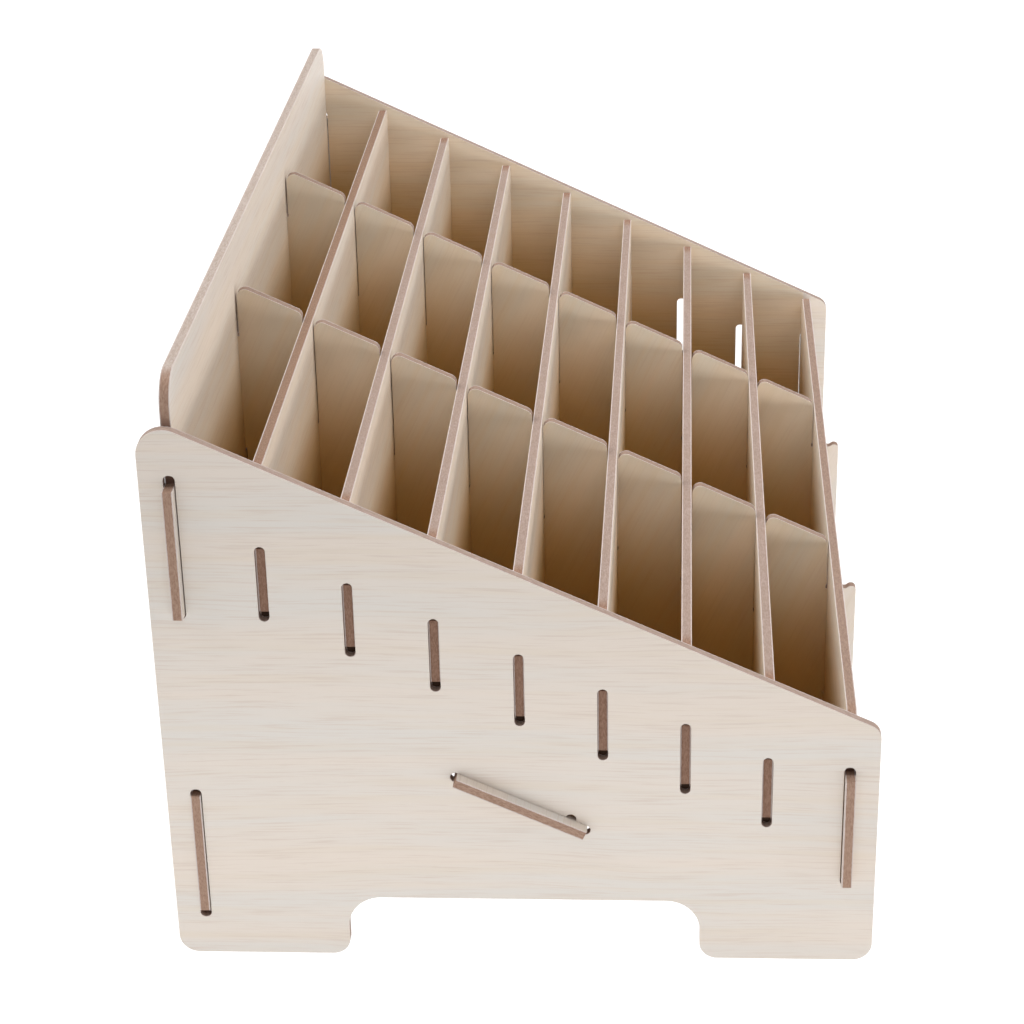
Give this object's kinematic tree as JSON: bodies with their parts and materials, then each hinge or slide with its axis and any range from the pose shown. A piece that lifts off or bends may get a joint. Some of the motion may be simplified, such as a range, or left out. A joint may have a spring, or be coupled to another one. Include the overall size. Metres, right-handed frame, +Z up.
{
  "type": "slanted desktop rack organizer",
  "caption": "Slanted desktop rack of interlocking thin panels: rows of narrow upright cells, open at the top, for tubes, bottles, markers and small tools.",
  "frame": {"origin": "on the floor under the middle of the overall bounding box", "axes": "+X across the rack from the left side panel to the right one, -Y towards the low front, +Y towards the tall back, +Z up"},
  "size_m": [0.3584, 0.216, 0.1935],
  "materials": {
    "side_board": "3 mm MDF faced with pale maple foil, grain along the panel's length, satin; routed edges show the pinkish-beige core between two thin pale foil lines",
    "end_board": "the same board, grain along the panel's length",
    "divider_board": "the same board, grain along the divider's length",
    "partition_board": "the same board, grain across the partition, square to its sloping top",
    "base_board": "the same board, mostly hidden in shade at the bottom of the cells"
  },
  "bodies": {
    "root": {"side_panel_left": "side_board", "side_panel_right": "side_board", "back_panel": "end_board", "front_panel": "end_board", "base_panel": "base_board", "partition_left": "partition_board", "partition_right": "partition_board", "divider_1": "divider_board", "divider_2": "divider_board", "divider_3": "divider_board", "divider_4": "divider_board", "divider_5": "divider_board", "divider_6": "divider_board", "divider_7": "divider_board"}
  },
  "joints": []
}
